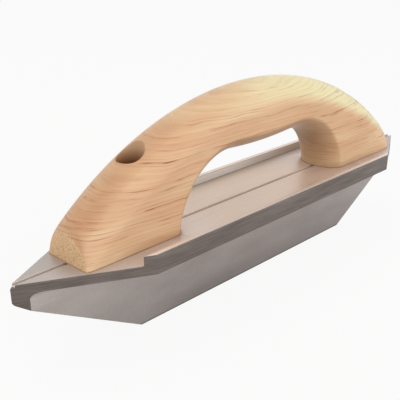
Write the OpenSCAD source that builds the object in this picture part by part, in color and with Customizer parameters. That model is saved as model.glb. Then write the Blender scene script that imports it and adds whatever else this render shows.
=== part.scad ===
// Brick jointer: an extruded runner, pointed at both ends, with a bowed wooden handle.
// The origin is the middle of the keel's bottom. X runs along the tool and Z is up.

/* [Body] */
// Length between the two sharp points, before they are filed blunt
body_length = 304.8; // [285:0.2:330]
// Width over the two lips
body_width = 61.4; // [54:0.2:76]
// Height from the bottom of the keel to the top of the plate
body_height = 47.7; // [38:0.1:60]
// Length of each lip between its two sawn ends
lip_length = 191.4; // [170:0.2:215]
// Thickness of each lip
lip_thickness = 3.2; // [2.4:0.1:5]
// Height of each lip above the plate
lip_height = 4.7; // [2.5:0.1:8]
// Thickness of the plate
plate_thickness = 4.9; // [3.5:0.1:7]
// Thickness of the keel
keel_thickness = 7.4; // [6.6:0.1:10]
// Length of the keel's straight bottom
keel_length = 169.6; // [130:0.2:190]
// Angle at which the keel's two ends rise
keel_rise = 29.5; // [25:0.5:40]
// Width of the groove along the middle of the plate
groove_width = 2.2; // [1:0.1:4]
// Depth of that groove
groove_depth = 1; // [0.5:0.1:2]
// Radius of the hollow between keel and plate
keel_fillet = 3; // [1:0.1:5]
// Radius of the hollow between lip and plate
lip_fillet = 0.5; // [0.4:0.1:2]
// Radius on the outer edges of the lips and the bottom edges of the keel
edge_radius = 0.4; // [0.3:0.1:1]
// Length filed off each point
tip_blunt = 0.5; // [0.3:0.1:3]
// Bevel filed on the top of each point
tip_bevel = 1.9; // [0.5:0.1:2.5]
// Radius of the corner where the keel's rising end meets the point
nose_radius = 3; // [1:0.1:4]

/* [Handle] */
// Length along the plate
handle_length = 246; // [220:0.2:256]
// Width of the wood
handle_width = 30.2; // [27:0.2:32]
// Height of the back above the plate, in the middle
handle_height = 63.3; // [58:0.1:70]
// Radius of the back's long curve
back_radius = 184.5; // [165:0.5:230]
// Length of the hand opening, on the middle line
opening_length = 120.8; // [105:0.2:130]
// Height of the hand opening at its two corners
opening_height = 30.6; // [27:0.1:32]
// Radius of the opening's two corners
opening_corner = 34.7; // [32:0.1:38]
// How far the grip swells down between the two corners
grip_swell = 1.1; // [0.6:0.1:2]
// Radius of the opening's rounded faces, across the wood
scoop_radius = 18.4; // [17.4:0.1:28]

/* [Fastenings] */
// Distance between the two screws
screw_spacing = 167.6; // [150:0.2:176]
// Diameter of the screw's thread
screw_diameter = 4.8; // [4:0.1:5.4]
// Length of thread in the body
screw_hold = 12; // [8:0.5:16]
// Diameter of the screw's head
head_diameter = 9.4; // [8:0.1:11]
// Height of the screw's head
head_height = 3.2; // [2.6:0.1:4]
// Diameter of the washer
washer_diameter = 12.7; // [11.5:0.1:13.6]
// Thickness of the washer
washer_thickness = 1.2; // [0.8:0.1:2]
// Diameter of the hole that takes head and washer
counterbore_diameter = 14; // [13:0.1:16]
// Height of that hole's floor above the plate
seat_height = 16; // [10:0.5:20]
// Play of the screw in the wood and in the washer, on the diameter
screw_play = 0.5; // [0.3:0.1:1]
// Play of the screw in its tapped hole, on the diameter
thread_play = 0.1; // [0.05:0.05:0.2]
// How far the tapped hole runs on past the screw
drill_run = 2; // [1:0.5:4]

/* [Hidden] */
$fn = 128;

// How far a cut runs on past the surface that it opens
margin = 1;

half_length = body_length / 2;
half_width = body_width / 2;
plate_bottom = body_height - plate_thickness;
lip_top = body_height + lip_height;
tip_x = half_length - tip_blunt;

// The back: a half round carried along a circle whose centre is far below the plate
half_wood = handle_width / 2;
back_center = handle_height - back_radius;
back_axis_radius = back_radius - half_wood;

// The opening: two corner circles, and a wide circle above them that just reaches over both
swell_overlap = 0.05;
cut_half = half_wood + margin;
corner_x = opening_length / 2 - opening_corner;
corner_z = opening_height - opening_corner;
swell_touch = (pow(corner_x, 2) + pow(grip_swell, 2)) / (2 * grip_swell) - opening_corner;
swell_radius = swell_touch + swell_overlap;
swell_z = opening_height - grip_swell + swell_touch;

// The screw: its round edge, point and driving cross
head_round = head_height * 0.45;
screw_point = screw_diameter * 0.2;
cross_length = head_diameter * 0.52;
cross_width = head_diameter * 0.13;
cross_depth = head_height * 0.55;
shank_length = washer_thickness + seat_height + screw_hold;

metal = [0.80, 0.74, 0.70];
wood = [0.85, 0.68, 0.51];
steel = [0.62, 0.63, 0.65];
washer_steel = [0.70, 0.70, 0.71];

// A flat shape, carried along the tool
module lengthwise(length) {
    rotate([90, 0, 90]) linear_extrude(height = length, center = true) children();
}

// A flat shape of the side view, carried across the tool
module crosswise(width) {
    rotate([90, 0, 0]) linear_extrude(height = width, center = true) children();
}

// A flat shape, turned about an axis that lies across the tool
module turned(x, z) {
    translate([x, 0, z]) rotate([90, 0, 0]) rotate_extrude() children();
}

// What lies between a square corner at the origin and its rounding
module corner(radius) {
    difference() {
        square(radius);
        translate([radius, radius]) circle(radius);
    }
}

// The same shape on both sides of the middle line
module both_sides() {
    children();
    mirror([1, 0]) children();
}

// Section of the extrusion: plate, lips and keel, with their hollows and rounded edges
module body_section() {
    difference() {
        union() {
            translate([-half_width, plate_bottom]) square([body_width, plate_thickness]);
            translate([-keel_thickness / 2, 0]) square([keel_thickness, body_height]);
            both_sides() {
                translate([half_width - lip_thickness, plate_bottom])
                    square([lip_thickness, plate_thickness + lip_height]);
                translate([keel_thickness / 2, plate_bottom]) mirror([0, 1]) corner(keel_fillet);
                translate([half_width - lip_thickness, body_height]) mirror([1, 0]) corner(lip_fillet);
            }
        }
        translate([-groove_width / 2, body_height - groove_depth])
            square([groove_width, groove_depth + margin]);
        both_sides() {
            translate([half_width, lip_top]) rotate(180) corner(edge_radius);
            translate([half_width, plate_bottom]) mirror([1, 0]) corner(edge_radius);
            translate([keel_thickness / 2, 0]) mirror([1, 0]) corner(edge_radius);
        }
    }
}

// Plan of the body: straight lips, and a blunted point at each end
module body_plan() {
    intersection() {
        polygon([
            [-half_length, 0],
            [-lip_length / 2, -half_width],
            [lip_length / 2, -half_width],
            [half_length, 0],
            [lip_length / 2, half_width],
            [-lip_length / 2, half_width]
        ]);
        square([2 * tip_x, body_width + 2 * margin], center = true);
    }
}

// Side view of the body: the keel's ends rise to the plate, and each point is bevelled on top
module body_side() {
    bevel_low = body_height - tip_bevel;
    bevel_x = tip_x - tip_bevel;
    rise_run = bevel_low / tan(keel_rise);
    difference() {
        union() {
            polygon([
                [-keel_length / 2, 0],
                [keel_length / 2, 0],
                [keel_length / 2 + rise_run, bevel_low],
                [-keel_length / 2 - rise_run, bevel_low]
            ]);
            polygon([
                [-tip_x, plate_bottom],
                [tip_x, plate_bottom],
                [tip_x, bevel_low],
                [bevel_x, body_height],
                [bevel_x, lip_top + margin],
                [-bevel_x, lip_top + margin],
                [-bevel_x, body_height],
                [-tip_x, bevel_low]
            ]);
        }
        both_sides() nose_corner();
    }
}

// What the nose loses where the keel's rising end meets the upright of the point
module nose_corner() {
    nose_z = (tip_x - keel_length / 2) * tan(keel_rise);
    reach = nose_radius * tan(45 - keel_rise / 2);
    difference() {
        polygon([
            [tip_x + margin, nose_z + reach],
            [tip_x - nose_radius, nose_z + reach],
            [tip_x - reach * cos(keel_rise), nose_z - reach * sin(keel_rise)],
            [tip_x, nose_z - margin],
            [tip_x + margin, nose_z - margin]
        ]);
        translate([tip_x - nose_radius, nose_z + reach]) circle(nose_radius);
    }
}

module jointer_body() {
    hole_depth = screw_hold + drill_run;
    color(metal) difference() {
        intersection() {
            lengthwise(body_length) body_section();
            translate([0, 0, -margin]) linear_extrude(height = lip_top + 2 * margin) body_plan();
            crosswise(body_width + 2 * margin) body_side();
        }
        for (side = [-1, 1]) {
            translate([side * screw_spacing / 2, 0, body_height - hole_depth])
                cylinder(d = screw_diameter + thread_play, h = hole_depth + margin);
        }
    }
}

// The bow before its opening is cut: straight sides under a half-round back
module bow() {
    intersection() {
        turned(0, back_center) {
            translate([0, -half_wood]) square([back_axis_radius, handle_width]);
            translate([back_axis_radius, 0]) circle(half_wood);
        }
        translate([-handle_length / 2, -cut_half, 0])
            cube([handle_length, 2 * cut_half, handle_height + margin]);
    }
}

// One round corner of the opening, whose face bulges towards the hand
module opening_end(x) {
    turned(x, corner_z) difference() {
        translate([0, -cut_half]) square([opening_corner + scoop_radius, 2 * cut_half]);
        translate([opening_corner + scoop_radius, 0]) circle(scoop_radius);
    }
}

// The opening between its corners, under the swell of the grip
module opening_middle() {
    swell_half = cut_half + margin;
    difference() {
        crosswise(2 * cut_half) polygon([[-corner_x, corner_z], [corner_x, corner_z], [0, swell_z]]);
        turned(0, swell_z) intersection() {
            translate([0, -swell_half]) square([swell_radius + margin, 2 * swell_half]);
            union() {
                translate([0, -swell_half]) square([swell_radius - scoop_radius, 2 * swell_half]);
                translate([swell_radius - scoop_radius, 0]) circle(scoop_radius);
            }
        }
    }
}

module handle() {
    color(wood) translate([0, 0, body_height]) difference() {
        bow();
        opening_end(-corner_x);
        opening_end(corner_x);
        opening_middle();
        for (side = [-1, 1]) {
            translate([side * screw_spacing / 2, 0, 0]) {
                translate([0, 0, -margin])
                    cylinder(d = screw_diameter + screw_play, h = seat_height + 2 * margin);
                translate([0, 0, seat_height]) cylinder(d = counterbore_diameter, h = handle_height);
            }
        }
    }
}

// Round-edged head with a driving cross, on a plain shank with a bevelled end
module screw() {
    difference() {
        rotate_extrude() difference() {
            square([head_diameter / 2, head_height]);
            translate([head_diameter / 2, head_height]) rotate(180) corner(head_round);
        }
        for (turn = [0, 90]) {
            rotate(turn) translate([-cross_length / 2, -cross_width / 2, head_height - cross_depth])
                cube([cross_length, cross_width, cross_depth + margin]);
        }
    }
    translate([0, 0, screw_point - shank_length])
        cylinder(d = screw_diameter, h = shank_length - screw_point);
    translate([0, 0, -shank_length])
        cylinder(d1 = screw_diameter - 2 * screw_point, d2 = screw_diameter, h = screw_point);
}

module washer() {
    difference() {
        cylinder(d = washer_diameter, h = washer_thickness);
        translate([0, 0, -margin])
            cylinder(d = screw_diameter + screw_play, h = washer_thickness + 2 * margin);
    }
}

// Puts a piece of a fastening on the floor of its counterbore, or that much above it
module at_seat(side, above = 0) {
    translate([side * screw_spacing / 2, 0, body_height + seat_height + above]) children();
}

module front_screw() {
    color(steel) at_seat(-1, washer_thickness) screw();
}

module rear_screw() {
    color(steel) at_seat(1, washer_thickness) screw();
}

module front_washer() {
    color(washer_steel) at_seat(-1) washer();
}

module rear_washer() {
    color(washer_steel) at_seat(1) washer();
}

jointer_body();
handle();
front_screw();
rear_screw();
front_washer();
rear_washer();
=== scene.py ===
import math

import bmesh
import bpy
import numpy as np
from mathutils import Matrix, Vector
from mathutils.geometry import delaunay_2d_cdt


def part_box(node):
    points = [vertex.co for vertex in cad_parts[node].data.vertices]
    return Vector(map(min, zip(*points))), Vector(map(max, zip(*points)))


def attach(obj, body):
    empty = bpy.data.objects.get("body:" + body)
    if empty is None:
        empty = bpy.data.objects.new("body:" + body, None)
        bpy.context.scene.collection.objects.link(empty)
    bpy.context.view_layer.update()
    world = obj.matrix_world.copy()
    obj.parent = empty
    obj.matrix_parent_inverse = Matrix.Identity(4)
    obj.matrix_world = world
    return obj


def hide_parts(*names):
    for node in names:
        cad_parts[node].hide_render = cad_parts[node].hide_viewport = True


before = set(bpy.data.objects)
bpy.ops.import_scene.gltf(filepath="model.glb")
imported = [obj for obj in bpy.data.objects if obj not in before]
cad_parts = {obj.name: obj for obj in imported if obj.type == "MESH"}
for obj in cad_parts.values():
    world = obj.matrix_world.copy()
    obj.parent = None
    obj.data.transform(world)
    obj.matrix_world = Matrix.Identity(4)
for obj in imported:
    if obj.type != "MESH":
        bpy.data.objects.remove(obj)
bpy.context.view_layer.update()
mm = 0.001  # sizes below are millimetres, meshes are metres
weld = 1e-6  # points closer than this are one
print("frame loaded:", ", ".join(sorted(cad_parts)))


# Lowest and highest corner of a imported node, in mm
def nodeBox(node):
    lo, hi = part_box(node)
    return np.array(lo) / mm, np.array(hi) / mm


# Place along x of the upright axis of a turned node
def middleX(node):
    low, high = nodeBox(node)
    return (low[0] + high[0]) / 2


bodyHigh = nodeBox("jointer_body")[1]
handleLow, handleHigh = nodeBox("handle")
plateTop = handleLow[2]


# Mesh tools

# Smaller of a and b, rounded over where they come within k of each other
def softMin(a, b, k):
    near = np.clip(k - np.abs(a - b), 0, None)
    return np.minimum(a, b) - near ** 2 / (4 * k)


# Points of an arc about (u, v), from one angle to another in degrees
def arc(u, v, radius, start, end, steps):
    angle = np.radians(np.linspace(start, end, steps))
    return np.stack([u + radius * np.cos(angle), v + radius * np.sin(angle)], -1)


# Angles all the way round
def fullTurn(sides):
    return np.linspace(0, 2 * math.pi, sides, endpoint=False)


# Rings of points about an upright axis, from the radius and height of each
def turnRings(centreX, turn, rings):
    made = []
    for radius, height in rings:
        x, y = centreX + radius * np.cos(turn), radius * np.sin(turn)
        made.append(np.stack([x, y, 0 * turn + height], -1))
    return np.stack(made)


# Quads of a grid of points that is closed round its columns
def gridQuads(rows, columns, first=0):
    r, c = np.meshgrid(np.arange(rows - 1), np.arange(columns), indexing="ij")
    right = (c + 1) % columns
    corners = [r * columns + c, r * columns + right, (r + 1) * columns + right, (r + 1) * columns + c]
    return np.stack(corners, -1).reshape(-1, 4) + first


# Edges that join each point of a closed loop to the next
def loopEdges(count, first=0):
    here = np.arange(count)
    return np.stack([here, (here + 1) % count], -1) + first


# Triangles between loops in a plane: Delaunay, with the loops as fixed edges
def fillPlane(points, edges):
    flat = [Vector(point) for point in points.tolist()]
    _, _, triangles, origins, *_ = delaunay_2d_cdt(flat, edges.tolist(), [], 1, weld)
    source = np.array([origin[0] for origin in origins])
    return source[np.array(triangles)]


# Moves a closed loop inwards in its plane, along the mean of its two edge normals at each point
def insetLoop(loop, depth):
    before = loop - np.roll(loop, 1, 0)
    after = np.roll(loop, -1, 0) - loop
    normals = []
    for edge in (before, after):
        normal = np.stack([-edge[:, 1], edge[:, 0]], -1)
        normals.append(normal / np.linalg.norm(normal, axis=1, keepdims=True))
    total = normals[0] + normals[1]
    share = 1 + (normals[0] * normals[1]).sum(1, keepdims=True)
    return loop + depth * total / share


# Adds an object to the scene
def addObject(name, data):
    made = bpy.data.objects.new(name, data)
    bpy.context.scene.collection.objects.link(made)
    return made


# Closed mesh with outward faces, in mm, as a piece of the object
def makePiece(name, points, faces, materials, finish=None, sharpAngle=32):
    mesh = bpy.data.meshes.new(name)
    mesh.from_pydata((np.asarray(points) * mm).tolist(), [], faces)
    for material in materials:
        mesh.materials.append(material)
    if finish is not None:
        mesh.polygons.foreach_set("material_index", np.asarray(finish, np.int32))
    work = bmesh.new()
    work.from_mesh(mesh)
    bmesh.ops.remove_doubles(work, verts=work.verts, dist=weld)
    bmesh.ops.recalc_face_normals(work, faces=work.faces)
    work.to_mesh(mesh)
    work.free()
    mesh.shade_smooth()
    mesh.set_sharp_from_angle(angle=math.radians(sharpAngle))
    return addObject(name, mesh)


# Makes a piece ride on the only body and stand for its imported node
def seat(piece, node):
    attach(piece, "root")
    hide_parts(node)


# Material tools

# sRGB hex to the linear colour that a socket takes
def linear(hexColour):
    s = np.array([int(hexColour[i:i + 2], 16) / 255 for i in (1, 3, 5)])
    value = np.where(s <= 0.04045, s / 12.92, ((s + 0.055) / 1.055) ** 2.4)
    return (*value.tolist(), 1.0)


# Adds a node and gives its outputs: an input is a plain value or another node's output, stops are a
# ramp's places and colours
def addNode(tree, kind, inputs=None, stops=None, **settings):
    node = tree.nodes.new("ShaderNode" + kind)
    for name, value in settings.items():
        setattr(node, name, value)
    for key, value in (inputs or {}).items():
        if isinstance(value, bpy.types.NodeSocket):
            tree.links.new(value, node.inputs[key])
        else:
            node.inputs[key].default_value = value
    for index, (place, colour) in enumerate(stops or []):
        elements = node.color_ramp.elements
        stop = elements[index] if index < 2 else elements.new(place)
        stop.position = place
        stop.color = linear(colour)
    return node.outputs


# Result of an operation on numbers
def maths(tree, operation, *values):
    return addNode(tree, "Math", dict(enumerate(values)), operation=operation)[0]


# Product of numbers
def product(tree, first, *others):
    for other in others:
        first = maths(tree, "MULTIPLY", first, other)
    return first


# Result of an operation on vectors; a length or a dot product is a number
def vectorMaths(tree, operation, *values):
    made = addNode(tree, "VectorMath", dict(enumerate(values)), operation=operation)
    return made[1] if operation in ("LENGTH", "DOT_PRODUCT") else made[0]


# Value carried over from one range to another, and held beyond its ends
def carry(tree, value, start, end, low=0.0, high=1.0, smooth=False):
    return addNode(tree, "MapRange", {
        0: value, 1: start, 2: end, 3: low, 4: high,
    }, interpolation_type="SMOOTHSTEP" if smooth else "LINEAR")[0]


# Two colours, mixed by the share of the second
def mixColours(tree, share, first, second, how="MIX"):
    return addNode(tree, "Mix", {
        0: share, 6: first, 7: second,
    }, data_type="RGBA", blend_type=how)[2]


# The three numbers of a vector
def axesOf(tree, vector):
    return addNode(tree, "SeparateXYZ", {0: vector})


# Colour or vector times a number
def scaled(tree, colour, tone):
    return addNode(tree, "VectorMath", {0: colour, "Scale": tone}, operation="SCALE")[0]


def newMaterial(name):
    material = bpy.data.materials.new(name)
    material.use_nodes = True
    material.node_tree.nodes.clear()
    return material, material.node_tree


def finishMaterial(tree, shader):
    addNode(tree, "OutputMaterial", {"Surface": shader})


# Ends a material with a surface whose relief and roughness follow a pattern
def finishSurface(tree, colour, pattern, relief, roughness, inputs):
    strength, height = relief
    bump = addNode(tree, "Bump", {
        "Height": pattern, "Strength": strength, "Distance": height * mm,
    })[0]
    shader = addNode(tree, "BsdfPrincipled", {
        "Base Color": colour, "Roughness": roughness, "Normal": bump, **inputs,
    })[0]
    finishMaterial(tree, shader)


# Values counted from a base
def countedFrom(base, values):
    return [base + value for value in values]


# Object coordinates in mm
def placeInMm(tree):
    return scaled(tree, addNode(tree, "TexCoord")["Object"], 1 / mm)


# Noise with blobs of the given sizes along the axes of a space in mm
def patternNoise(tree, space, sizes, detail=2.0, roughness=0.5):
    scale = tuple(1 / size for size in sizes)
    mapped = addNode(tree, "Mapping", {"Vector": space, "Scale": scale})[0]
    return addNode(tree, "TexNoise", {
        "Vector": mapped, "Scale": 1.0, "Detail": detail, "Roughness": roughness,
    })["Fac"]


# Wood of the handle: a pale hardwood, sanded and thinly lacquered. Flat growth layers show as long
# lines on the sides and as nested arcs on the slopes, pores as dark dashes along the grain.
# Sizes of patterns are in mm along the grain, across it and in layer height. Limits are the noise
# values between which a pattern sets in.
wood = {
    "ground": ((0.32, "#D9AA82"), (0.72, "#E6C39B"), (0.5, "#DFB58C")),  # pink, pale and tan patches
    "patchSize": (60, 22, 9),
    "drift": 0.0006,  # the wood grows paler along x
    "roughness": 0.52,
    "ior": 1.5,
    "fuzz": 0.4,  # pale sheen of the raised fibres along the outline
    "fuzzSpread": 0.3,
    "fibreSize": (80, 24, 0.6),
    "fibreLimits": (0.28, 0.72),
    "fibreTones": (0.91, 1.06),
    "fibreGloss": (0.08, -0.04),  # added to the roughness
    "fibreBump": (0.25, 0.08),  # strength, and height in mm
    "undersideShade": 0.56,  # painted shade: tone of the underside of the grip
    "undersideShadeLean": (-0.7, 0.1),  # upward lean at which it is full and gone
    # growth layers
    "layerBend": 120.0,  # radius of the growth rings across the handle
    "tilt": 0.012,  # rise of the layers along the handle
    "waves": (  # size, reach and detail of their slow, quick and fine waves
        ((85, 40, 30), 3.2, 2.0),
        ((26, 14, 9), 1.2, 1.0),
        ((7, 5, 4), 0.3, 1.0),
    ),
    "waveRoughness": 0.45,
    "layers": ((4.6, 0.85), (2.0, 0.5)),  # thickness of wide and narrow layers, depth of their lines
    "unevenSize": 1.7,  # number of layers over which their thickness varies
    "unevenReach": 2.4,  # and by which the noise shifts them
    # lines and pores
    "late": "#A2612D",
    "band": (0.55, 0.95),  # part of a layer over which it darkens slowly
    "bandDepth": 0.15,  # share of the line's depth that is reached there
    "lateStart": (0.6, 0.26),  # late wood sets in between these depths below a layer's upper edge
    "lateStop": 0.16,  # and ends over this one; coarser than life so that it shows
    "weakest": 0.15,  # share of its depth that the faintest line has
    "fadeSize": (17, 9, 1.9),
    "fadeLimits": (0.36, 0.62),
    "faded": 0.1,
    "layerLean": (0.7, 0.95),  # upward lean between which a surface comes to lie along the layers
    "layerFaded": 0.3,
    "quietStart": (-75.0, 15.0),  # places along x between which lines grow fainter
    "quietEnd": (45.0, 75.0),  # and strong again
    "quiet": 0.62,
    "pore": "#8C4A20",
    "dashSize": (9, 5, 1.1),
    "dashLimits": (0.52, 0.6),
    # slopes, darker partly because they cut across the fibres and partly as painted shade
    "crossCutAndShade": "#E2D0C0",
    "crossLean": (0.2, 0.42),  # upward times lengthwise lean at which the tint starts and is full
    "crossSide": (3.0, -10.0),  # as painted shade, the tint fades out towards the far side
    # painted light along the back: its top paler and yellower, where light from above and behind falls
    "sap": "#E9DEB0",
    "litBackDepth": (0.05, 0.45),  # shares of the half round between which it sets in
    "sapStart": (-76.0, 58.0),  # places along x between which it begins and ends
    "litBackEnd": (70.0, 122.0),
    "litBackNarrow": 0.4,  # share of the half round by which it narrows at its end
    "streakSize": (60, 14, 3),
    "streak": 5.0,  # how far streaks shift its limit
    "ragged": 60.0,  # how far patches shift its beginning and end
    # end grain
    "endGrain": "#F6CE9E",
    "endPore": "#A8733C",
    "endDepth": (0.25, 0.08),  # depths below the end faces between which it sets in
    "endCover": 0.88,
    "speckSize": (0.9, 0.65, 0.65),
    "speckLimits": (0.46, 0.7),
    "speckDepth": 0.6,
    # bored walls and the line along the foot, both painted shade
    "wall": ((0.0, "#38200F"), (1.0, "#FFD2A4"), (0.5, "#BC8054")),  # from the floor to the rim, painted shade darkest at the floor
    "wallHeights": (77.0, 90.0),
    "wallMargin": (0.02, 0.12),  # distances outside the bore between which the wall's colour ends
    "wallShade": 0.65,  # painted shade: tone of the darker side of the wall
    "wallShadeSide": (0.7, -0.7, 0),  # direction away from that side
    "footShade": "#38200F",
    "footShadeDepth": 0.6,
    "footShadeLine": (0.15, 0.55),  # painted shade along the foot, heights above the plate
}


# Darkness of the growth lines: each layer darkens slowly, then sharply, and stops at its upper edge. A
# slow noise of the level shifts it, so that the layers' thickness varies.
def growthLines(tree, level, fade, thickness, depth):
    levelOnly = addNode(tree, "CombineXYZ", {2: level})[0]
    uneven = patternNoise(tree, levelOnly, (1, 1, wood["unevenSize"] * thickness), detail=1.0)
    shifted = maths(tree, "MULTIPLY_ADD", uneven, wood["unevenReach"] * thickness, level)
    counted = product(tree, shifted, 1 / thickness)
    phase = maths(tree, "FRACT", counted)
    layer = maths(tree, "FLOOR", counted)
    weight = addNode(tree, "TexWhiteNoise", {"W": layer}, noise_dimensions="1D")["Value"]
    band = carry(tree, phase, *wood["band"], 0.0, wood["bandDepth"])
    start, full = (1 - depthBelow / thickness for depthBelow in wood["lateStart"])
    rise = carry(tree, phase, start, full, 0.0, 1 - wood["bandDepth"])
    dark = maths(tree, "ADD", band, rise)
    stop = carry(tree, phase, 1 - wood["lateStop"] / thickness, 1.0, 1.0, 0.0)
    strength = carry(tree, weight, 0.0, 1.0, wood["weakest"] * depth, depth)
    return product(tree, dark, stop, strength, fade)


def woodMaterial():
    material, tree = newMaterial("sandedHardwood")
    place = placeInMm(tree)
    x, y, z = axesOf(tree, place)
    absX = maths(tree, "ABSOLUTE", x)
    endward, _, upward = axesOf(tree, addNode(tree, "TexCoord")["Normal"])

    # height of a growth layer: z with three waves, tilted a little along x and bowed across y
    level = z
    for size, reach, detail in wood["waves"]:
        wave = patternNoise(tree, place, size, detail, wood["waveRoughness"])
        level = maths(tree, "ADD", level, carry(tree, wave, 0.0, 1.0, -reach, reach))
    level = maths(tree, "MULTIPLY_ADD", x, wood["tilt"], level)
    level = maths(tree, "MULTIPLY_ADD", product(tree, y, y), 0.5 / wood["layerBend"], level)
    grain = addNode(tree, "CombineXYZ", {0: x, 1: y, 2: level})[0]
    fibre = patternNoise(tree, grain, wood["fibreSize"], detail=3.0, roughness=0.6)

    # lines come and go, and fade on the grip and where the surface lies along the layers
    fading = patternNoise(tree, grain, wood["fadeSize"], detail=1.0)
    fade = carry(tree, fading, *wood["fadeLimits"], wood["faded"], 1.0)
    cutShare = carry(tree, upward, *wood["layerLean"], 1.0, wood["layerFaded"])
    before = carry(tree, x, *wood["quietStart"], 1.0, wood["quiet"])
    after = carry(tree, x, *wood["quietEnd"], wood["quiet"], 1.0)
    fade = product(tree, fade, cutShare, maths(tree, "MAXIMUM", before, after))

    # broad patches of paler and pinker wood
    patch = patternNoise(tree, grain, wood["patchSize"])
    drifted = maths(tree, "MULTIPLY_ADD", x, wood["drift"], patch)
    colour = addNode(tree, "ValToRGB", {0: drifted}, stops=wood["ground"])[0]

    # painted light: the back's top paler and yellower, by the distance from the centre of the back's long
    # curve
    fromCentre = vectorMaths(tree, "SUBTRACT", place, (0, 0, plateTop + backCentre[1]))
    radial = vectorMaths(tree, "LENGTH", vectorMaths(tree, "MULTIPLY", fromCentre, (1, 0, 1)))
    streak = patternNoise(tree, grain, wood["streakSize"], detail=3.0)
    streaked = maths(tree, "MULTIPLY_ADD", streak, wood["streak"], radial)
    ragged = maths(tree, "MULTIPLY_ADD", patch, wood["ragged"], x)
    start, full, waning, end = countedFrom(wood["ragged"] / 2, wood["sapStart"] + wood["litBackEnd"])
    narrowed = carry(tree, ragged, waning, end, 0.0, wood["litBackNarrow"] * halfWide)
    streaked = maths(tree, "SUBTRACT", streaked, narrowed)
    low, high = (backAxis + wood["streak"] / 2 + share * halfWide for share in wood["litBackDepth"])
    onRound = carry(tree, streaked, low, high, smooth=True)
    begun = carry(tree, ragged, start, full, smooth=True)
    colour = mixColours(tree, product(tree, onRound, begun), colour, linear(wood["sap"]))

    # tones of the fibres, of the underside of the grip as painted shade, and of the slopes
    fibreTone = carry(tree, fibre, *wood["fibreLimits"], *wood["fibreTones"])
    undersideTone = carry(tree, upward, *wood["undersideShadeLean"], wood["undersideShade"], 1.0)
    for tone in (fibreTone, undersideTone):
        colour = scaled(tree, colour, tone)
    # slopes tinted darker: the cut across the fibres, with painted shade that fades out towards the far
    # side
    slope = product(tree, maths(tree, "ABSOLUTE", endward), upward)
    nearSide = carry(tree, y, *wood["crossSide"])
    crossed = product(tree, carry(tree, slope, *wood["crossLean"]), nearSide)
    colour = mixColours(tree, crossed, colour, linear(wood["crossCutAndShade"]), "MULTIPLY")

    # growth lines, darker in dashes where they hold pores
    dashNoise = patternNoise(tree, grain, wood["dashSize"], detail=1.0, roughness=0.4)
    dashes = carry(tree, dashNoise, *wood["dashLimits"])
    for thickness, depth in wood["layers"]:
        late = growthLines(tree, level, fade, thickness, depth)
        dash = product(tree, late, dashes)
        for share, tone in ((late, "late"), (dash, "pore")):
            colour = mixColours(tree, share, colour, linear(wood[tone]))

    # end grain on the two end faces, speckled with cut pores
    low, high = (halfLong - depth for depth in wood["endDepth"])
    endShare = carry(tree, absX, low, high, 0.0, wood["endCover"])
    speckNoise = patternNoise(tree, place, wood["speckSize"], detail=1.0)
    specks = carry(tree, speckNoise, *wood["speckLimits"], 0.0, wood["speckDepth"])
    speckled = mixColours(tree, specks, linear(wood["endGrain"]), linear(wood["endPore"]))
    colour = mixColours(tree, endShare, colour, speckled)

    # bored walls, darker with depth and on one side as painted shade: within the counterbore's radius
    # about the screw's axis
    bore = handle["counterbore"] / 2
    offAxis = maths(tree, "SUBTRACT", absX, boreX)
    fromAxis = addNode(tree, "CombineXYZ", {0: offAxis, 1: y})[0]
    away = vectorMaths(tree, "LENGTH", fromAxis)
    inBore = carry(tree, away, *countedFrom(bore, wood["wallMargin"]), 1.0, 0.0)
    height = carry(tree, z, *wood["wallHeights"])
    wall = addNode(tree, "ValToRGB", {0: height}, stops=wood["wall"])[0]
    sideways = vectorMaths(tree, "DOT_PRODUCT", fromAxis, wood["wallShadeSide"])
    wall = scaled(tree, wall, carry(tree, sideways, -bore, bore / 2, wood["wallShade"], 1.0))
    colour = mixColours(tree, inBore, colour, wall)

    # painted contact shade along the foot
    footShade = carry(tree, z, *countedFrom(plateTop, wood["footShadeLine"]), wood["footShadeDepth"], 0.0)
    colour = mixColours(tree, footShade, colour, linear(wood["footShade"]))

    gloss = countedFrom(wood["roughness"], wood["fibreGloss"])
    rough = carry(tree, fibre, *wood["fibreLimits"], *gloss)
    finishSurface(tree, colour, fibre, wood["fibreBump"], rough, {
        "IOR": wood["ior"], "Sheen Weight": wood["fuzz"], "Sheen Roughness": wood["fuzzSpread"],
    })
    return material
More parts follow.
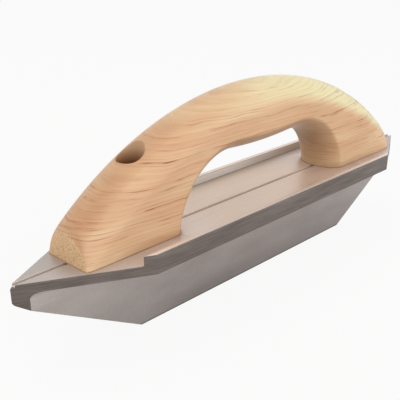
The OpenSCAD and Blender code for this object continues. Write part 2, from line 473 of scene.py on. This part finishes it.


# Aluminium of the body. As extruded it is satin, with faint die lines along its length. The outer
# sides of the lips and the sawn ends are ground, so they are darker and brushed. The inner sides of the
# lips, out of the hand's reach, have kept their cooler grey. Points are two distances from the middle
# and the tone that a finish takes on between them: painted shade towards the tips of the plate and the
# ground faces, painted light towards the feet in the recess. The plate's tint is a warm tint and the
# distances where it ends and is full.
metal = {
    "plate": {"tones": ("#E3D6CF", "#E8DCD6"), "lineSize": (60, 0.7, 60), "lineDepth": 0.045,
              "metallic": 0.5, "roughness": 0.4, "points": (68.0, 126.0, 0.62),
              "middleTint": ("#FEF5E8", (70.0, 35.0))},  # a warm tint below the grip
    "keel": {"tones": ("#9F9793", "#A9A29F"), "lineSize": (60, 60, 0.6), "lineDepth": 0.02,
             "metallic": 0.8, "roughness": 0.5},
    "ground": {"tones": ("#736A65", "#807772"), "lineSize": (18, 18, 0.4), "lineDepth": 0.3,
               "metallic": 0.9, "roughness": 0.42, "points": (120.0, 148.0, 0.84)},
    "rubbed": {"tones": ("#E3D4C9", "#E7D9CF"), "lineSize": (60, 0.5, 60), "lineDepth": 0.03,
               "metallic": 0.4, "roughness": 0.45},
    "recess": {"tones": ("#B2A79F", "#BBB0A8"), "lineSize": (60, 0.5, 60), "lineDepth": 0.04,
               "metallic": 0.6, "roughness": 0.55, "points": (80.0, 122.0, 1.5)},
    "lip": {"tones": ("#DAD4CF", "#E0DAD6"), "lineSize": (60, 60, 0.5), "lineDepth": 0.04,
            "metallic": 0.4, "roughness": 0.45},
    "zinc": {"tones": ("#A9ABAE", "#B9BABC"), "lineSize": (8, 8, 0.3), "lineDepth": 0.05,
             "metallic": 1.0, "roughness": 0.34},
    "patchSize": (34, 11, 11),
    "patchLimits": (0.3, 0.7),
    "lineLimits": (0.28, 0.72),
    "speckSize": (0.8, 0.8, 0.8),  # coarser than life so that it shows
    "speckLimits": (0.3, 0.7),
    "speckTones": (0.965, 1.035),
    "bump": (0.3, 0.02),  # strength, and height in mm
    "glossLimits": (0.25, 0.75),
    "gloss": (-0.05, 0.07),  # added to the roughness
    "edgeHeight": 12.0,  # painted shade darkens the keel's working edge below this height
    "edgeTone": 0.8,
    "edgeEnds": (45.0, 95.0),  # distances from the middle between which that shade ends
    "endTone": 1.32,  # painted reflection: the rising ends are paler
    "endStart": (65.0, 142.0),
    "cornerHeight": (0.5, 1.3),  # painted shade darkens the keel's bottom corners up to here
    "cornerTone": 0.6,
    "farLipShadeTone": 0.78,  # painted shade along the foot of the far lip
    "farLipShadeReach": 22.0,
    "farLipShadeRise": 3.8,  # it fades this many times faster up the lip
    "nearTone": 1.07,  # painted light: the near half of the plate is a little paler
    "nearStart": (2.0, -16.0),
    "rearLightTone": 1.18,  # painted light: the plate is paler before the rear foot
    "rearLightStart": (-8.0, 45.0),  # places along x where this starts and is full
    "rearLightEnd": (70.0, 57.0),  # and where it ends and is still full
    "rearLightSide": (14.0, -6.0),  # the same across the plate
}


# Tone of the keel from painted shade and reflection: darker along the middle of its working edge and at
# its bottom corners, paler towards its two ends
def keelShading(tree, place):
    x, _, z = axesOf(tree, place)
    absX = maths(tree, "ABSOLUTE", x)
    low = carry(tree, z, 0.0, metal["edgeHeight"], 1.0, 0.0, smooth=True)
    middle = carry(tree, absX, *metal["edgeEnds"], 1.0, 0.0)
    edge = carry(tree, product(tree, low, middle), 0.0, 1.0, 1.0, metal["edgeTone"])
    pale = carry(tree, absX, *metal["endStart"], 1.0, metal["endTone"])
    corner = carry(tree, z, *metal["cornerHeight"], metal["cornerTone"], 1.0)
    return product(tree, edge, pale, corner)


# Tone inside the lips: painted shade near the foot of the far lip, painted light on the near half
def lipShading(tree, place):
    y = axesOf(tree, place)[1]
    foot = (0, bodyHigh[1] - body["lipThickness"], plateTop)
    fromFoot = vectorMaths(tree, "SUBTRACT", place, foot)
    weighed = vectorMaths(tree, "MULTIPLY", fromFoot, (0, 1, metal["farLipShadeRise"]))
    away = vectorMaths(tree, "LENGTH", weighed)
    farLipShade = carry(tree, away, 0.0, metal["farLipShadeReach"], metal["farLipShadeTone"], 1.0)
    pale = carry(tree, y, *metal["nearStart"], 1.0, metal["nearTone"])
    return product(tree, farLipShade, pale)


# Tone of the plate: the same, and painted light that makes it paler before the rear foot
def plateShading(tree, place):
    x, y, _ = axesOf(tree, place)
    # painted light before the rear foot
    rubbed = metal["rearLightTone"] - 1
    for axis, key in ((x, "rearLightStart"), (x, "rearLightEnd"), (y, "rearLightSide")):
        rubbed = product(tree, carry(tree, axis, *metal[key]), rubbed)
    inside = lipShading(tree, place)
    return maths(tree, "MULTIPLY_ADD", inside, rubbed, inside)


# Number that goes from 1 to the given one between two distances from the middle, towards both points
def pointTone(tree, place, near, end, tone):
    away = maths(tree, "ABSOLUTE", axesOf(tree, place)[0])
    return carry(tree, away, near, end, 1.0, tone)


# One metal finish: two tones in soft patches, fine specks, lines that are long along two axes, and
# painted shade and light
def metalMaterial(name, look, paintedShading=None):
    material, tree = newMaterial(name)
    place = placeInMm(tree)
    patch = patternNoise(tree, place, metal["patchSize"], detail=3.0)
    lines = patternNoise(tree, place, look["lineSize"], roughness=0.6)
    specks = patternNoise(tree, place, metal["speckSize"], detail=1.0)
    first, second = (linear(tone) for tone in look["tones"])
    colour = mixColours(tree, carry(tree, patch, *metal["patchLimits"]), first, second)
    depth = look["lineDepth"]
    tones = [
        carry(tree, lines, *metal["lineLimits"], 1 - depth, 1 + depth),
        carry(tree, specks, *metal["speckLimits"], *metal["speckTones"]),
    ]
    if paintedShading:
        tones.append(paintedShading(tree, place))
    if "points" in look:
        tones.append(pointTone(tree, place, *look["points"]))
    colour = scaled(tree, colour, product(tree, *tones))
    if "middleTint" in look:
        tint, (outside, inside) = look["middleTint"]
        middleTinted = pointTone(tree, place, inside, outside, 0.0)
        colour = mixColours(tree, middleTinted, colour, linear(tint), "MULTIPLY")
    gloss = countedFrom(look["roughness"], metal["gloss"])
    rough = carry(tree, lines, *metal["glossLimits"], *gloss)
    finishSurface(tree, colour, lines, metal["bump"], rough, {"Metallic": look["metallic"]})
    return material


zincFinish = metalMaterial("zincPlatedSteel", metal["zinc"])
print("materials made")


# Body: one section of plate, lips and keel, carried along x until each point meets the end
body = {
    "sharpLength": 304.8,  # between the points before they were filed blunt
    "lipLength": 191.4,
    "lipThickness": 3.2,
    "plateThickness": 4.9,
    "keelThickness": 7.4,
    "keelLength": 169.6,
    "keelRise": 29.5,  # degrees
    "grooveWidth": 2.2,
    "grooveDepth": 1.0,
    "keelHollow": 3.0,
    "lipHollow": 0.5,
    "edgeRound": 0.4,
    "lipInnerRound": 0.3,
    "grooveRound": 0.3,
    "endEase": 0.2,  # broken edge round the sawn ends
    "easeSteps": 5,
    "lengthSteps": 10,
    "noseRound": 3.0,
    "noseSharpest": 0.25,  # what is left of the round at the keel's sides
    "noseHeights": (26.0, 46.2),  # heights between which the nose is rounded
    "noseMargin": 0.5,  # the nose's own points keep this far from its sides
    "noseGrid": (25, 64),
    "noseSteps": 31,
    "tipBevel": 1.9,
    "tappedHole": 4.9,
    "tappedDepth": 14.0,
    "cutterRise": 1.0,  # the cutter stands this far out of the plate
    "holeSides": 64,
}
bodyFinishes = {
    "plate": metalMaterial("extrudedAluminium", metal["plate"], plateShading),
    "keel": metalMaterial("blastedAluminium", metal["keel"], keelShading),
    "ground": metalMaterial("groundAluminium", metal["ground"]),
    "rubbed": metalMaterial("rubbedAluminium", metal["rubbed"]),
    "recess": metalMaterial("dullAluminium", metal["recess"]),
    "lip": metalMaterial("cleanAluminium", metal["lip"], lipShading),
}
finishOrder = list(bodyFinishes)
ground = finishOrder.index("ground")


# How far the body reaches along x at a point of its section: the least of the sawn slant, which falls
# with the distance from the middle, the blunt tip, the bevel on its top and the keel's rising end
def bodyReach(y, z):
    half = body["sharpLength"] / 2
    slant = (half - body["lipLength"] / 2) / bodyHigh[1]
    point = np.minimum(half - np.abs(y) * slant, bodyHigh[0])
    bevel = bodyHigh[0] - body["tipBevel"] + np.abs(plateTop - z)
    rise = body["keelLength"] / 2 + z / math.tan(math.radians(body["keelRise"]))
    inward = 1 - np.abs(y) / (body["keelThickness"] / 2)
    blend = np.clip(body["noseRound"] * inward, body["noseSharpest"], None)
    return softMin(np.minimum(point, bevel), rise, blend)


# Section in y and z, from the middle of the keel's bottom up the right side to the groove, then mirrored.
# Each stretch carries the finish of the faces that start on it.
def bodySection():
    keel, width, top = body["keelThickness"] / 2, bodyHigh[1], bodyHigh[2]
    bottom, inner = plateTop - body["plateThickness"], width - body["lipThickness"]
    edge, hollow, fillet = body["edgeRound"], body["keelHollow"], body["lipHollow"]
    lipRound, rim, groove = body["lipInnerRound"], body["grooveRound"], body["grooveWidth"] / 2
    noseHeights = np.linspace(body["noseHeights"][0], bottom - hollow, body["noseSteps"])[:-1]
    grooveFloor = plateTop - body["grooveDepth"]
    parts = [
        ("keel", [(0, 0)]),
        ("keel", arc(keel - edge, edge, edge, -90, 0, 7)),
        ("keel", np.stack([np.full(len(noseHeights), keel), noseHeights], -1)),
        ("keel", arc(keel + hollow, bottom - hollow, hollow, 180, 97.5, 11)),
        ("plate", [(keel + hollow, bottom)]),
        ("ground", arc(width - edge, bottom + edge, edge, -90, 0, 7)),
        ("ground", arc(width - edge, top - edge, edge, 0, 75, 6)),
        ("rubbed", [(width - edge, top)]),
        ("recess", arc(inner + lipRound, top - lipRound, lipRound, 90, 165, 5)),
        ("lip", [(inner, top - lipRound)]),
        # the fillet at the lip's foot takes the darker keel finish, a painted shade line in the corner
        ("keel", arc(inner - fillet, plateTop + fillet, fillet, 0, -75, 6)),
        ("plate", [(inner - fillet, plateTop)]),
        ("plate", arc(groove + rim, plateTop - rim, rim, 90, 180, 5)),
        ("recess", [(groove, grooveFloor), (groove / 4, grooveFloor)]),
    ]
    half = np.concatenate([np.asarray(points, float) for _, points in parts])
    finish = np.concatenate([np.full(len(points), finishOrder.index(kind)) for kind, points in parts])
    loop = np.concatenate([half, half[:0:-1] * (-1, 1)])
    edgeFinish = np.concatenate([finish, finish[-2::-1]])
    return loop, edgeFinish


# Opens a tapped hole for each screw with a Boolean cut, and keeps the result as plain mesh
def tapHoles(piece):
    radius = body["tappedHole"] / 2
    ends = (plateTop - body["tappedDepth"], plateTop + body["cutterRise"])
    sides = body["holeSides"]
    around = np.arange(sides)
    faces = gridQuads(2, sides).tolist() + [around[::-1].tolist(), (around + sides).tolist()]
    finish = np.full(len(faces), ground)
    cutters = []
    for node in ("front_screw", "rear_screw"):
        rings = turnRings(middleX(node), fullTurn(sides), [(radius, end) for end in ends])
        cutter = makePiece("holeCutter", rings.reshape(-1, 3), faces, bodyFinishes.values(), finish)
        cut = piece.modifiers.new("tap", "BOOLEAN")
        cut.object, cut.operation, cut.solver = cutter, "DIFFERENCE", "EXACT"
        cutters.append(cutter)
    plain = piece.data
    graph = bpy.context.evaluated_depsgraph_get()
    piece.data = bpy.data.meshes.new_from_object(piece.evaluated_get(graph))
    piece.data.name = piece.name
    piece.modifiers.clear()
    for mesh in [plain] + [cutter.data for cutter in cutters]:
        bpy.data.meshes.remove(mesh)


def makeBody():
    loop, edgeFinish = bodySection()
    count, ease = len(loop), body["endEase"]

    # eased edge round the sawn end: a quarter circle that leads from the end face to the full section
    rows = []
    for angle in np.radians(np.linspace(90, 0, body["easeSteps"])):
        rows.append((insetLoop(loop, ease * (1 - math.cos(angle))), ease * (1 - math.sin(angle))))
    sections = []
    for ring, drop in rows:
        sections.append(np.column_stack([drop - bodyReach(ring[:, 0], ring[:, 1]), ring]))
    start = sections[-1]
    for share in np.linspace(0, 1, body["lengthSteps"])[1:-1]:
        sections.append(start * (1 - 2 * share, 1, 1))
    sections += [section * (-1, 1, 1) for section in sections[len(rows) - 1::-1]]
    points = np.concatenate(sections)
    quads = gridQuads(len(sections), count)
    finish = np.tile(edgeFinish, (len(sections) - 1, 1))
    finish[:len(rows) - 1] = ground
    finish[1 - len(rows):] = ground

    # sawn ends: the inset loop filled with triangles, with extra points where the nose is rounded
    inner = rows[0][0]
    side = body["keelThickness"] / 2 - body["noseMargin"]
    across, upward = body["noseGrid"]
    noseY, noseZ = np.meshgrid(
        np.linspace(-side, side, across), np.linspace(*body["noseHeights"], upward),
    )
    flat = np.concatenate([inner, np.column_stack([noseY.ravel(), noseZ.ravel()])])
    caps = fillPlane(flat, loopEdges(count))
    reach = bodyReach(flat[:, 0], flat[:, 1])
    first = len(points)
    ends = [np.column_stack([sign * reach, flat]) for sign in (-1, 1)]
    points = np.concatenate([points, *ends])
    faces = quads.tolist() + (caps + first).tolist() + (caps + first + len(flat)).tolist()
    finish = np.concatenate([finish.ravel(), np.full(2 * len(caps), ground)])
    piece = makePiece("runnerBody", points, faces, bodyFinishes.values(), finish)
    tapHoles(piece)
    return piece


runner = makeBody()
seat(runner, "jointer_body")
print("body made:", len(runner.data.polygons), "faces")


# Handle: a section of scooped inner face, flat sides and half-round back, carried along the hand opening
handle = {
    "backRadius": 184.5,  # long curve of the back, along its top line
    "openingLength": 120.8,
    "openingHeight": 30.6,
    "cornerRadius": 34.7,
    "swell": 1.1,  # how far the grip sinks between the two corners
    "scoopRadius": 18.4,  # round of the opening's faces, across the wood
    "creaseRadius": 3.2,  # sanded edge between scoop and flat side
    "endBlend": 3.0,  # eased edge round each end face
    "baseEase": 0.4,
    "endLean": -0.3,  # rows that lean more than this along x can meet the end face
    "counterbore": 14.0,
    "rimEase": 0.25,
    "floorRings": (1.2, 1.0),  # distances of the floor's rings from the wall and the screw hole
    "ringSteps": (7, 7, 12, 6),  # counts of rings on the collar, the rim, the wall and the screw hole
    "collar": 3.4,  # the back is drawn in rings this far round the counterbore
    "opened": 4.2,  # and its own rows stop this far from it
    "slack": 0.01,  # allowance in telling which triangles lie inside a ring
    "screwHole": 5.3,
    "columnSteps": (22, 9, 10, 34),  # counts of columns on the scoop, its edge, the side and the back
    "cornerRows": 170,
    "crowding": 0.75,  # how strongly these rows crowd towards the foot
    "gripRows": 24,
}
halfLong, halfWide = handleHigh[0], handleHigh[1]
backCentre = np.array([0.0, handleHigh[2] - plateTop - handle["backRadius"]])
backAxis = handle["backRadius"] - halfWide
pivot = np.array([
    handle["cornerRadius"] - handle["openingLength"] / 2,
    handle["openingHeight"] - handle["cornerRadius"],
])


# Right half of the section as columns: y, depth of the inner face, share of the way to the back, and
# rise of the half round. Scoop and edge are arcs, the side is straight, the back a quarter circle.
def sectionColumns():
    scoop, edge = handle["scoopRadius"], handle["creaseRadius"]
    across = halfWide - edge
    depth = math.sqrt((scoop - edge) ** 2 - across ** 2)
    turn = math.atan2(across, depth)
    scoopSteps, edgeSteps, sideSteps, backSteps = handle["columnSteps"]
    a = np.linspace(0, turn, scoopSteps)
    e = np.linspace(turn, math.pi / 2, edgeSteps)[1:]
    share = np.linspace(0, 1, sideSteps)[1:]
    b = np.linspace(0, math.pi / 2, backSteps)[1:]
    parts = [
        np.stack([scoop * np.sin(a), scoop * (1 - np.cos(a)), 0 * a, 0 * a]),
        np.stack([across + edge * np.sin(e), scoop - depth - edge * np.cos(e), 0 * e, 0 * e]),
        np.stack([0 * share + halfWide, 0 * share + scoop - depth, share, 0 * share]),
        np.stack([halfWide * np.cos(b), 0 * b, 0 * b + 1, halfWide * np.sin(b)]),
    ]
    right = np.concatenate(parts, 1)
    left = right[:, -2:0:-1] * np.array([[-1], [1], [1], [1]])
    return np.concatenate([right, left], 1)


columns = sectionColumns()


# Distance from the opening to each column: the scoop's depth, or a share of the way to the back, which
# ends on a torus about the back's centre or, near the foot, on the flat end face
def columnReach(start, direction):
    _, innerDepth, share, rise = columns
    fromCentre = start - backCentre
    along = (fromCentre * direction).sum(-1)
    outside = (backAxis + rise) ** 2 - (fromCentre ** 2).sum(-1)
    toBack = -along + np.sqrt(along ** 2 + outside)
    lean = direction[..., 0]
    leaning = lean < handle["endLean"]
    toEnd = (-halfLong - start[..., 0]) / np.where(leaning, lean, -1)
    toEnd = np.where(leaning, toEnd, np.inf)
    return (1 - share) * innerDepth + share * softMin(toBack, toEnd, handle["endBlend"])


# Points of the section where it stands on the opening's corner circle at the given angles
def cornerPoints(angle):
    direction = np.stack([np.cos(angle), np.sin(angle)], -1)
    start = pivot + handle["cornerRadius"] * direction
    return start + columnReach(start, direction)[..., None] * direction


# Front half of the handle, row by row from the foot to the middle of the grip
def handleRows():
    count = columns.shape[1]
    ease = handle["baseEase"]
    swellRadius = (pivot[0] ** 2 + handle["swell"] ** 2) / (2 * handle["swell"]) - handle["cornerRadius"]
    swellCentre = np.array([0, handle["openingHeight"] - handle["swell"] + swellRadius])
    toSwell = swellCentre - pivot
    topAngle = math.atan2(toSwell[1], toSwell[0])

    # each column turns from its own foot angle, where it meets the plate, to the common angle at the grip
    footAngle = np.full(count, math.pi)
    rounds = 40  # more than enough for the angle to settle
    for _ in range(rounds):
        out = np.linalg.norm(cornerPoints(footAngle) - pivot, axis=-1)
        footAngle = math.pi - np.arcsin((ease - pivot[1]) / out)
    t = np.linspace(0, 1, handle["cornerRows"])[:, None]
    turned = (1 - handle["crowding"]) * t + handle["crowding"] * t ** 3
    corner = cornerPoints(footAngle + (topAngle - footAngle) * turned)

    # under the swell each row points at the swell circle's centre
    sweep = np.linspace(math.pi / 2 - topAngle, 0, handle["gripRows"])[1:, None]
    direction = np.repeat(np.stack([np.sin(sweep), np.cos(sweep)], -1), count, 1)
    start = swellCentre - swellRadius * direction
    grip = start + columnReach(start, direction)[..., None] * direction

    side = np.concatenate([corner, grip])
    y = np.repeat(columns[:1], len(side), 0)
    rows = np.stack([side[..., 0], y, side[..., 1]], -1)
    eased = []
    for angle in np.radians([90, 60, 30]):
        plan = insetLoop(rows[0, :, :2], -ease * (1 - math.cos(angle)))
        eased.append(np.column_stack([plan, np.full(count, ease * (1 - math.sin(angle)))]))
    return np.concatenate([np.stack(eased), rows])


# Height of the half-round back above the plate
def backHeight(x, y):
    return np.sqrt((backAxis + np.sqrt(halfWide ** 2 - y ** 2)) ** 2 - x ** 2) + backCentre[1]


# Counterbore as rings about its axis: the back round it, the eased rim, the wall, the floor and the
# screw hole
def counterbore(centreX, seatHeight, sides=120):
    bore, ease, hole = handle["counterbore"] / 2, handle["rimEase"], handle["screwHole"] / 2
    collarSteps, rimSteps, wallSteps, holeSteps = handle["ringSteps"]
    turn = fullTurn(sides)
    rings = []
    for radius in np.linspace(bore + handle["collar"], bore + ease, collarSteps):
        rings.append((radius, backHeight(centreX + radius * np.cos(turn), radius * np.sin(turn))))
    rim = rings[-1][1]
    for angle in np.radians(np.linspace(0, 90, rimSteps)[1:]):
        rings.append((bore + ease * (1 - math.sin(angle)), rim - ease * (1 - math.cos(angle))))
    edge = rings[-1][1]
    for share in np.linspace(0, 1, wallSteps)[1:]:
        rings.append((bore, edge + (seatHeight - edge) * share))
    fromWall, fromHole = handle["floorRings"]
    for radius in (bore - fromWall, hole + fromHole, hole):
        rings.append((radius, seatHeight))
    for height in np.linspace(seatHeight, 0, holeSteps)[1:]:
        rings.append((hole, height))
    return turnRings(centreX, turn, rings)


# Triangles between a border and a ring of the given radius about the counterbore's axis
def fillAround(points, source, loops, centreX, radius):
    triangles = source[fillPlane(points[source, :2], np.concatenate(loops))]
    middle = points[triangles, :2].mean(1) - (centreX, 0)
    return triangles[np.hypot(*middle.T) > radius - handle["slack"]].tolist()


def makeHandle():
    half = handleRows()
    rows = np.concatenate([half, half[-2::-1] * (-1, 1, 1)])
    rowCount, count = rows.shape[:2]
    points = rows.reshape(-1, 3)
    quads = gridQuads(rowCount, count)
    onBack = np.tile(columns[3] > 0, rowCount)
    faces = []
    for node in ("front_washer", "rear_washer"):
        centreX, seatHeight = middleX(node), nodeBox(node)[0][2] - plateTop
        rings = counterbore(centreX, seatHeight)
        sides = rings.shape[1]

        # open the back round the counterbore and stitch its outer ring in
        away = np.hypot(points[:, 0] - centreX, points[:, 1])
        added = np.zeros(len(points) - len(onBack), bool)
        close = (away < handle["counterbore"] / 2 + handle["opened"]) & np.append(onBack, added)
        opened = close[quads].any(1)
        gone, quads = quads[opened], quads[~opened]
        edges = np.concatenate([gone[:, [i, (i + 1) % 4]] for i in range(4)])
        edges.sort(1)
        edges, uses = np.unique(edges, axis=0, return_counts=True)
        border = edges[uses == 1]
        used, border = np.unique(border, return_inverse=True)
        border = border.reshape(-1, 2)
        first = len(points)
        points = np.concatenate([points, rings.reshape(-1, 3)])
        source = np.concatenate([used, first + np.arange(sides)])
        loops = [border, loopEdges(sides, len(used))]
        faces += fillAround(points, source, loops, centreX, rings[0, 0, 0] - centreX)
        faces += gridQuads(len(rings), sides, first).tolist()

        # the foot's underside, with the screw hole through it
        ring = np.arange(count) + (0 if centreX < 0 else (rowCount - 1) * count)
        hole = first + (len(rings) - 1) * sides + np.arange(sides)
        source = np.concatenate([ring, hole])
        loops = [loopEdges(count), loopEdges(sides, count)]
        faces += fillAround(points, source, loops, centreX, handle["screwHole"] / 2)
    faces += quads.tolist()
    return makePiece("bowedHandle", points + (0, 0, plateTop), faces, [woodFinish])


boreX = middleX("rear_washer")
woodFinish = woodMaterial()
bow = makeHandle()
seat(bow, "handle")
print("handle made:", len(bow.data.polygons), "faces")


# Fastenings: a pan-head screw with a driving cross, and its washer, both turned about their axis
screw = {
    "headHeight": 3.2,
    "headRound": 1.5,
    "roundSteps": 10,
    "shank": 4.8,
    "pitch": 0.8,
    "threadDepth": 0.45,
    "threadFade": 2.0,  # length under the head over which the thread sets in
    "turnRows": 6,
    "crossWidth": 1.2,
    "crossReach": 2.5,
    "crossDepth": 1.8,
    "crossEdge": (1.12, 0.24),  # start and width of the cross's slanted edge, as shares of an arm
    "topRings": (0.1, 40),  # radius of the first ring on the head's top, and their number
    "middle": 0.02,  # radius of the flat at the middle of head and point
    "apart": 0.001,  # between the rings of the head's underside and of the shank
    "point": 1.0,
    "pointStep": 0.3,
    "pointTaper": 0.4,
}
washer = {"ease": 0.25, "holeEase": 0.1}


# Screw as rings from the middle of its top to its point. The driving cross lowers the top near its two
# arms; the thread's radius follows a triangle wave of height over pitch less the turn.
def makeScrew(name, node, sides=72):
    low, high = nodeBox(node)
    top, headRadius = high[2], (high[0] - low[0]) / 2
    under, corner = top - screw["headHeight"], screw["headRound"]
    reach, halfArm = screw["crossReach"], screw["crossWidth"] / 2
    edgeStart, edgeWidth = screw["crossEdge"]
    firstRing, ringCount = screw["topRings"]
    turn = fullTurn(sides)
    rings = []
    for radius in [screw["middle"], *np.linspace(firstRing, headRadius - corner, ringCount)]:
        u, v = np.abs(radius * np.cos(turn)), np.abs(radius * np.sin(turn))
        arm = np.minimum(np.maximum(u / reach, v / halfArm), np.maximum(v / reach, u / halfArm))
        rings.append((radius, top - screw["crossDepth"] * np.clip((edgeStart - arm) / edgeWidth, 0, 1)))
    for angle in np.radians(np.linspace(90, 0, screw["roundSteps"])[1:]):
        radius = headRadius - corner + corner * math.cos(angle)
        rings.append((radius, top - corner + corner * math.sin(angle)))
    rings.append((headRadius, under))
    shank = screw["shank"] / 2
    rowHeight = screw["pitch"] / screw["turnRows"]
    heights = np.arange(under - screw["apart"], low[2] + screw["point"], -rowHeight)
    for height in heights:
        wave = np.abs(((height / screw["pitch"] - turn / (2 * math.pi)) % 1) * 2 - 1)
        fade = np.clip((under - height) / screw["threadFade"], 0, 1)
        rings.append((shank - screw["threadDepth"] * (1 - wave) * fade, height))
    root = shank - screw["threadDepth"]
    rings.append((root, heights[-1] - screw["pointStep"]))
    for radius in (root - screw["pointTaper"], screw["middle"]):
        rings.append((radius, low[2]))
    points = turnRings(middleX(node), turn, rings).reshape(-1, 3)
    faces = gridQuads(len(rings), sides).tolist()
    last = (len(rings) - 1) * sides
    faces += [list(range(sides)), list(range(last, last + sides))]
    return makePiece(name, points, faces, [zincFinish])


# Washer: a flat ring whose section is a rectangle with rounded outer edges
def makeWasher(name, node, sides=96):
    low, high = nodeBox(node)
    outer = (high[0] - low[0]) / 2
    inner, ease, holeEase = handle["screwHole"] / 2, washer["ease"], washer["holeEase"]
    profile = np.concatenate([
        [(inner, low[2]), (outer - ease, low[2])],
        arc(outer - ease, low[2] + ease, ease, -90, 0, 5)[1:],
        arc(outer - ease, high[2] - ease, ease, 0, 90, 5),
        [(inner + holeEase, high[2]), (inner, high[2] - holeEase)],
    ])
    turn = fullTurn(sides)[:, None]
    x, y = middleX(node) + profile[:, 0] * np.cos(turn), profile[:, 0] * np.sin(turn)
    z = np.repeat(profile[None, :, 1], sides, 0)
    points = np.stack([x, y, z], -1)
    points = np.concatenate([points, points[:1]])
    faces = gridQuads(sides + 1, len(profile)).tolist()
    return makePiece(name, points.reshape(-1, 3), faces, [zincFinish])


for end in ("front", "rear"):
    seat(makeScrew(end + "PanScrew", end + "_screw"), end + "_screw")
    seat(makeWasher(end + "FlatWasher", end + "_washer"), end + "_washer")
print("fastenings made")


# Camera of the photograph, found from the body's straight edges, in mm and degrees
view = {
    "place": (-275.563, -238.297, 187.73),
    "azimuth": -44.807,
    "elevation": 21.807,
    "roll": -0.813,
    "focal": 62.277,
    "sensor": 36.0,
    "clip": (0.01, 50.0),  # metres
}


def makeCamera():
    az, el, roll = (math.radians(view[k]) for k in ("azimuth", "elevation", "roll"))
    back = Vector((math.sin(az) * math.cos(el), -math.cos(az) * math.cos(el), math.sin(el)))
    level = Vector((math.cos(az), math.sin(az), 0))
    up = back.cross(level)
    right = math.cos(roll) * level + math.sin(roll) * up
    upright = math.cos(roll) * up - math.sin(roll) * level
    data = bpy.data.cameras.new("photoCamera")
    data.lens, data.sensor_width = view["focal"], view["sensor"]
    data.clip_start, data.clip_end = view["clip"]
    camera = addObject("photoCamera", data)
    turned = Matrix((right, upright, back)).transposed().to_4x4()
    camera.matrix_world = Matrix.Translation(Vector(view["place"]) * mm) @ turned
    bpy.context.scene.camera = camera


makeCamera()


# Stage: a pale floor and a white surround with soft light
stage = {
    "floor": "#DEDDDB",
    "floorSize": 9.0,  # metres
    "grainSize": (40, 40, 40),
    "grainTones": (0.99, 1.01),
    "white": 0.985,
    "floorWhite": 0.93,  # share of plain white in what the camera sees of the floor
    "mirrorWhite": 0.3,  # the same for reflections, which show more of the shadow
    "surround": 0.69,  # level of the even light from all round
    "target": (0.0, 0.0, 0.06),
    "lamps": {
        # place, width and height of the pane in metres, power in watts, colour
        "keyLamp": ((-0.2, 0.15, 1.05), (0.7, 0.7), 2.1, "#FFFAF2"),
        "fillLamp": ((0.15, -1.2, 0.32), (2.2, 0.9), 8.7, "#FFFFFF"),
    },
}


# For a ray that looks at the background: one value from the camera, one by way of a reflection, else 0
def seenRays(tree, straight, mirrored):
    path = addNode(tree, "LightPath")
    shiny = maths(tree, "MAXIMUM", path["Is Glossy Ray"], path["Is Transmission Ray"])
    return maths(tree, "MULTIPLY_ADD", path["Is Camera Ray"], straight, product(tree, shiny, mirrored))


def makeStage():
    world = bpy.data.worlds.new("whiteStudio")
    bpy.context.scene.world = world
    world.use_nodes = True
    tree = world.node_tree
    tree.nodes.clear()
    level = carry(tree, seenRays(tree, 1, 1), 0.0, 1.0, stage["surround"], stage["white"])
    surround = addNode(tree, "Background", {"Color": (1, 1, 1, 1), "Strength": level})[0]
    addNode(tree, "OutputWorld", {"Surface": surround})

    material, tree = newMaterial("paleFloor")
    grain = patternNoise(tree, placeInMm(tree), stage["grainSize"])
    tone = carry(tree, grain, 0.0, 1.0, *stage["grainTones"])
    paint = scaled(tree, linear(stage["floor"])[:3], tone)
    matt = addNode(tree, "BsdfDiffuse", {"Color": paint})[0]
    glow = addNode(tree, "Emission", {"Color": (1, 1, 1, 1), "Strength": stage["white"]})[0]
    share = seenRays(tree, stage["floorWhite"], stage["mirrorWhite"])
    finishMaterial(tree, addNode(tree, "MixShader", {0: share, 1: matt, 2: glow})[0])

    half = stage["floorSize"] / 2
    mesh = bpy.data.meshes.new("studioFloor")
    corners = [(-half, -half, 0), (half, -half, 0), (half, half, 0), (-half, half, 0)]
    mesh.from_pydata(corners, [], [(0, 1, 2, 3)])
    mesh.materials.append(material)
    floor = addObject("studioFloor", mesh)

    target = Vector(stage["target"])
    for name, (place, size, power, colour) in stage["lamps"].items():
        data = bpy.data.lights.new(name, "AREA")
        data.shape = "RECTANGLE"
        data.size, data.size_y = size
        data.energy, data.color = power, linear(colour)[:3]
        lamp = addObject(name, data)
        lamp.location = place
        lamp.visible_camera = False  # only its light is seen
        lamp.rotation_euler = (target - Vector(place)).to_track_quat("-Z", "Y").to_euler()


makeStage()
bpy.context.scene.view_settings.view_transform = "Standard"
print("stage, lamps and camera made")
